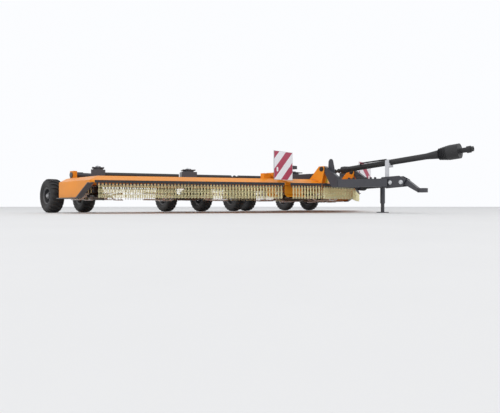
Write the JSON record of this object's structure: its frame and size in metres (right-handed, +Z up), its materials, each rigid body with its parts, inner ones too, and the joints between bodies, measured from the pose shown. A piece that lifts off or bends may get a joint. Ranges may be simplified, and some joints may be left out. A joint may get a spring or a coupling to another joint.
{
  "type": "flex-wing rotary cutter",
  "caption": "Trailed flex-wing rotary cutter: swept orange decks on hinged wings, bladed rotors under formed deck rings, chain curtains, walking-beam wheels and an A-frame drawbar.",
  "frame": {"origin": "middle of the machine's box on the ground", "axes": "+X to the machine's right, +Y forward to the tractor, +Z up"},
  "size_m": [6.9892, 5.8024, 0.9471],
  "materials": {
    "orange_paint": "satin",
    "charcoal_paint": "satin",
    "zinc_chain": "zinc plated",
    "blade_steel": "ground",
    "grey_steel": "satin",
    "tyre": "matte",
    "rim_paint": "satin",
    "board": "matte",
    "black_guard": "matte",
    "light_grey": "satin",
    "skid_steel": "satin"
  },
  "bodies": {
    "centre": {"centre_deck": "orange_paint", "centre_frame": "charcoal_paint", "centre_chains": "zinc_chain", "centre_gearbox": "charcoal_paint", "centre_shafts": "black_guard", "drawbar_brackets": "orange_paint", "warning_boards": "board", "board_brackets": "charcoal_paint", "hinge_flaps": "orange_paint"},
    "centre_axle": {"centre_axles": "charcoal_paint"},
    "wing_right": {"wing_deck_right": "orange_paint", "wing_chains_right": "zinc_chain", "end_plate_right": "orange_paint", "skid_right": "skid_steel", "wing_gearboxes_right": "charcoal_paint", "wing_shafts_right": "black_guard", "hinge_flap_right": "orange_paint"},
    "lift_axle_right": {"wing_axle_right": "charcoal_paint"},
    "wing_left": {"wing_deck_left": "orange_paint", "wing_chains_left": "zinc_chain", "end_plate_left": "orange_paint", "skid_left": "skid_steel", "wing_gearboxes_left": "charcoal_paint", "wing_shafts_left": "black_guard", "hinge_flap_left": "orange_paint"},
    "lift_axle_left": {"wing_axle_left": "charcoal_paint"},
    "centre_rotor": {"rotor_centre": "grey_steel", "blades_centre": "blade_steel"},
    "inner_rotor_right": {"rotor_inner_right": "grey_steel", "blades_inner_right": "blade_steel"},
    "outer_rotor_right": {"rotor_outer_right": "grey_steel", "blades_outer_right": "blade_steel"},
    "inner_rotor_left": {"rotor_inner_left": "grey_steel", "blades_inner_left": "blade_steel"},
    "outer_rotor_left": {"rotor_outer_left": "grey_steel", "blades_outer_left": "blade_steel"},
    "wheel_centre_in_right": {"tyre_centre_in_right": "tyre", "rim_centre_in_right": "rim_paint"},
    "wheel_centre_out_right": {"tyre_centre_out_right": "tyre", "rim_centre_out_right": "rim_paint"},
    "wheel_wing_out_right": {"tyre_wing_out_right": "tyre", "rim_wing_out_right": "rim_paint"},
    "wheel_wing_in_right": {"tyre_wing_in_right": "tyre", "rim_wing_in_right": "rim_paint"},
    "wheel_centre_in_left": {"tyre_centre_in_left": "tyre", "rim_centre_in_left": "rim_paint"},
    "wheel_centre_out_left": {"tyre_centre_out_left": "tyre", "rim_centre_out_left": "rim_paint"},
    "wheel_wing_out_left": {"tyre_wing_out_left": "tyre", "rim_wing_out_left": "rim_paint"},
    "wheel_wing_in_left": {"tyre_wing_in_left": "tyre", "rim_wing_in_left": "rim_paint"},
    "drawbar": {"drawbar_frame": "charcoal_paint", "hitch_tongue": "charcoal_paint", "drive_shaft": "black_guard", "shaft_holder": "light_grey"},
    "jack": {"parking_jack": "charcoal_paint"}
  },
  "joints": [
    {"name": "wing_fold_right", "type": "hinge", "parent": "centre", "child": "wing_right", "pos_m": [0.96, -0.52013, 0.599], "axis": [0, -1, 0], "range_deg": [-10, 88]},
    {"name": "wing_fold_left", "type": "hinge", "parent": "centre", "child": "wing_left", "pos_m": [-0.96, -0.52013, 0.599], "axis": [0, 1, 0], "range_deg": [-10, 88]},
    {"name": "centre_rotor_spin", "type": "hinge", "parent": "centre", "child": "centre_rotor", "pos_m": [0, -0.15013, 0.25], "axis": [0, 0, 1], "continuous": true},
    {"name": "inner_rotor_spin_right", "type": "hinge", "parent": "wing_right", "child": "inner_rotor_right", "pos_m": [1.66474, -1.03008, 0.25], "axis": [0, 0, 1], "continuous": true},
    {"name": "outer_rotor_spin_right", "type": "hinge", "parent": "wing_right", "child": "outer_rotor_right", "pos_m": [2.94457, -1.64987, 0.25], "axis": [0, 0, 1], "continuous": true},
    {"name": "inner_rotor_spin_left", "type": "hinge", "parent": "wing_left", "child": "inner_rotor_left", "pos_m": [-1.66474, -1.03008, 0.25], "axis": [0, 0, 1], "continuous": true},
    {"name": "outer_rotor_spin_left", "type": "hinge", "parent": "wing_left", "child": "outer_rotor_left", "pos_m": [-2.94457, -1.64987, 0.25], "axis": [0, 0, 1], "continuous": true},
    {"name": "wheel_centre_in_spin_right", "type": "hinge", "parent": "centre_axle", "child": "wheel_centre_in_right", "pos_m": [0.45, -2.18013, 0.27], "axis": [1, 0, 0], "continuous": true},
    {"name": "wheel_centre_out_spin_right", "type": "hinge", "parent": "centre_axle", "child": "wheel_centre_out_right", "pos_m": [1.11, -2.46013, 0.27], "axis": [1, 0, 0], "continuous": true},
    {"name": "wheel_wing_out_spin_right", "type": "hinge", "parent": "lift_axle_right", "child": "wheel_wing_out_right", "pos_m": [3.37457, -2.34987, 0.27], "axis": [1, 0, 0], "continuous": true},
    {"name": "wheel_wing_in_spin_right", "type": "hinge", "parent": "lift_axle_right", "child": "wheel_wing_in_right", "pos_m": [2.71457, -2.62987, 0.27], "axis": [1, 0, 0], "continuous": true},
    {"name": "wheel_centre_in_spin_left", "type": "hinge", "parent": "centre_axle", "child": "wheel_centre_in_left", "pos_m": [-0.45, -2.18013, 0.27], "axis": [1, 0, 0], "continuous": true},
    {"name": "wheel_centre_out_spin_left", "type": "hinge", "parent": "centre_axle", "child": "wheel_centre_out_left", "pos_m": [-1.11, -2.46013, 0.27], "axis": [1, 0, 0], "continuous": true},
    {"name": "wheel_wing_out_spin_left", "type": "hinge", "parent": "lift_axle_left", "child": "wheel_wing_out_left", "pos_m": [-3.37457, -2.34987, 0.27], "axis": [1, 0, 0], "continuous": true},
    {"name": "wheel_wing_in_spin_left", "type": "hinge", "parent": "lift_axle_left", "child": "wheel_wing_in_left", "pos_m": [-2.71457, -2.62987, 0.27], "axis": [1, 0, 0], "continuous": true},
    {"name": "centre_axle_lift", "type": "hinge", "parent": "centre", "child": "centre_axle", "pos_m": [0, -1.51013, 0.599], "axis": [1, 0, 0], "range_deg": [-11, 0]},
    {"name": "wing_axle_lift_right", "type": "hinge", "parent": "wing_right", "child": "lift_axle_right", "pos_m": [3.04457, -2.06987, 0.599], "axis": [1, 0, 0], "range_deg": [-20, 0]},
    {"name": "wing_axle_lift_left", "type": "hinge", "parent": "wing_left", "child": "lift_axle_left", "pos_m": [-3.04457, -2.06987, 0.599], "axis": [1, 0, 0], "range_deg": [-20, 0]},
    {"name": "drawbar_pitch", "type": "hinge", "parent": "centre", "child": "drawbar", "pos_m": [0, 0.81987, 0.684], "axis": [1, 0, 0], "range_deg": [-10, 10]},
    {"name": "jack_swing", "type": "hinge", "parent": "drawbar", "child": "jack", "pos_m": [-0.41, 1.37987, 0.455], "axis": [1, 0, 0], "range_deg": [0, 90]}
  ]
}
